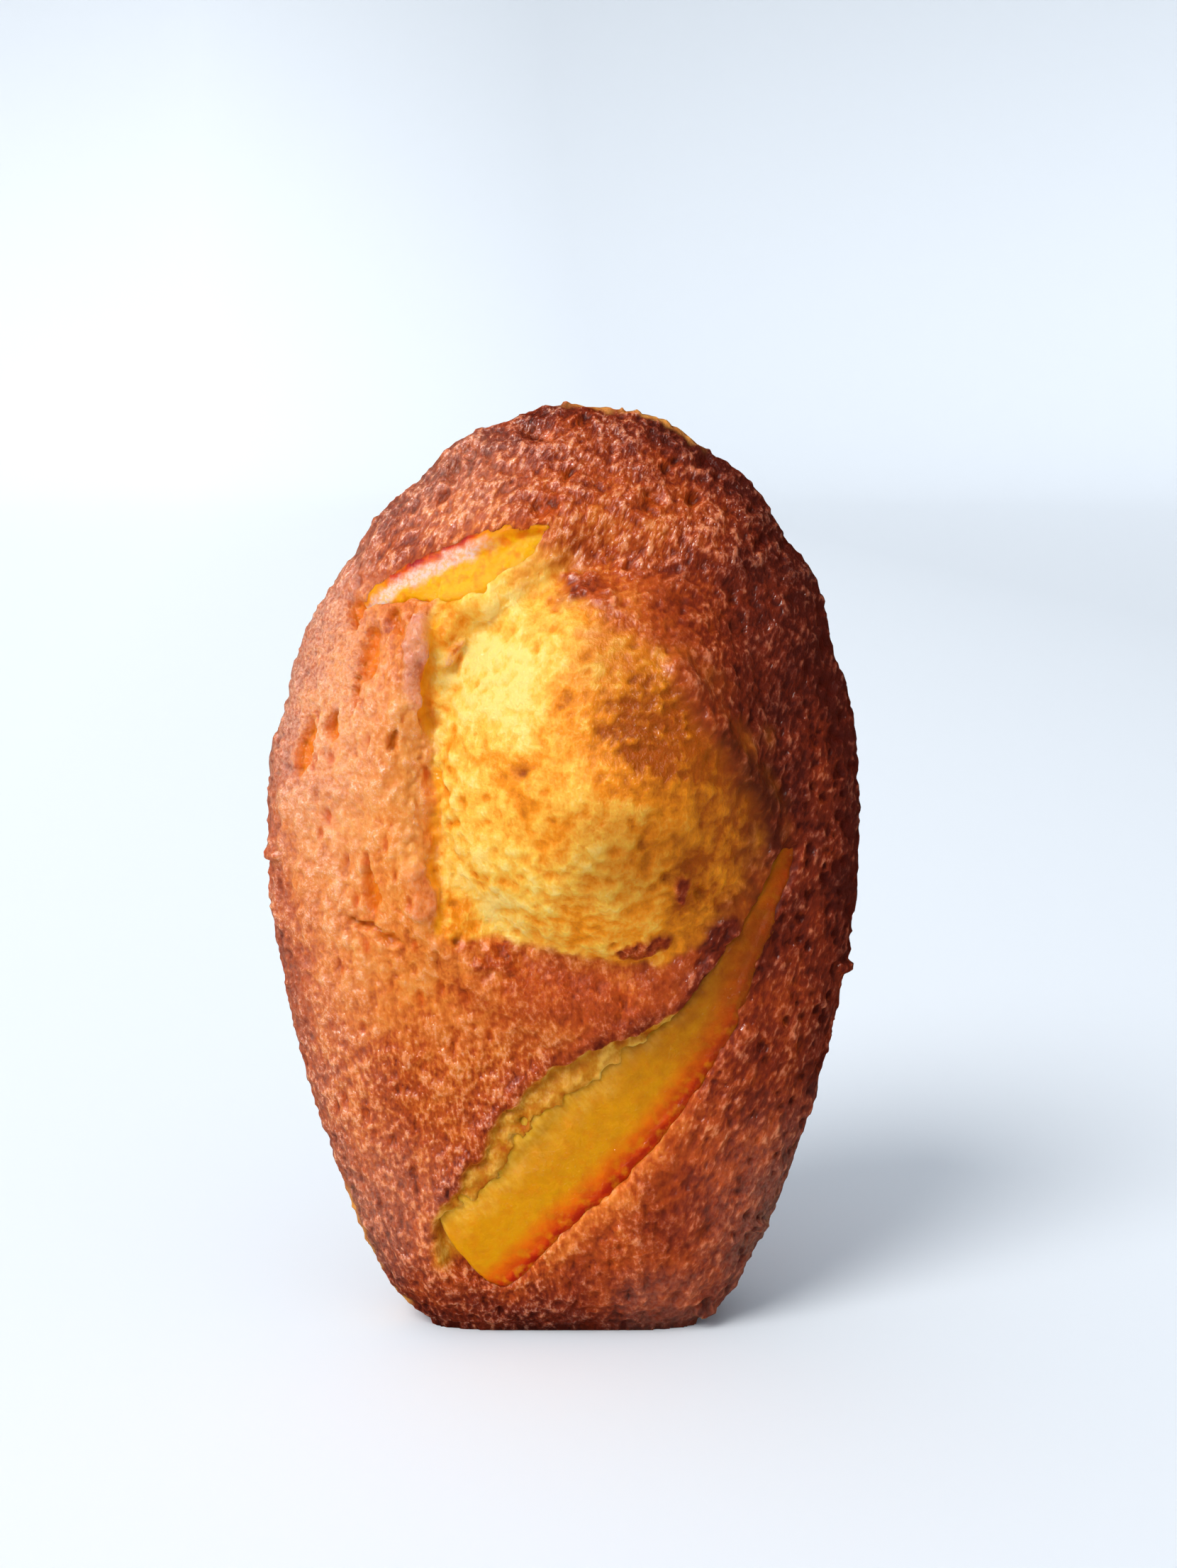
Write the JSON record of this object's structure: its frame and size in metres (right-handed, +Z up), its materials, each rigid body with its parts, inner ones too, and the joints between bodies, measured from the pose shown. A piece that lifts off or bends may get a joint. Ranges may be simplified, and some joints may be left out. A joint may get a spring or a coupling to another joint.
{
  "type": "madeleine cake",
  "caption": "Shell-shaped small sponge cake with a risen, cracked hump in front, a ribbed back and candied orange peel baked into the crust, standing on its squared narrow end.",
  "frame": {"origin": "on the table, under the middle of the cake's bounding box", "axes": "+Z up along the cake's length, from its squared narrow end to its rounded end; the hump faces -Y and the ribbed shell side faces +Y"},
  "size_m": [0.0498, 0.03, 0.0781],
  "materials": {
    "crust": "browned sponge crust, pitted and slightly oily",
    "candied_peel": "translucent glossy candied orange peel"
  },
  "bodies": {
    "root": {"cake": "crust", "peel_long": "candied_peel", "peel_short": "candied_peel"}
  },
  "joints": []
}
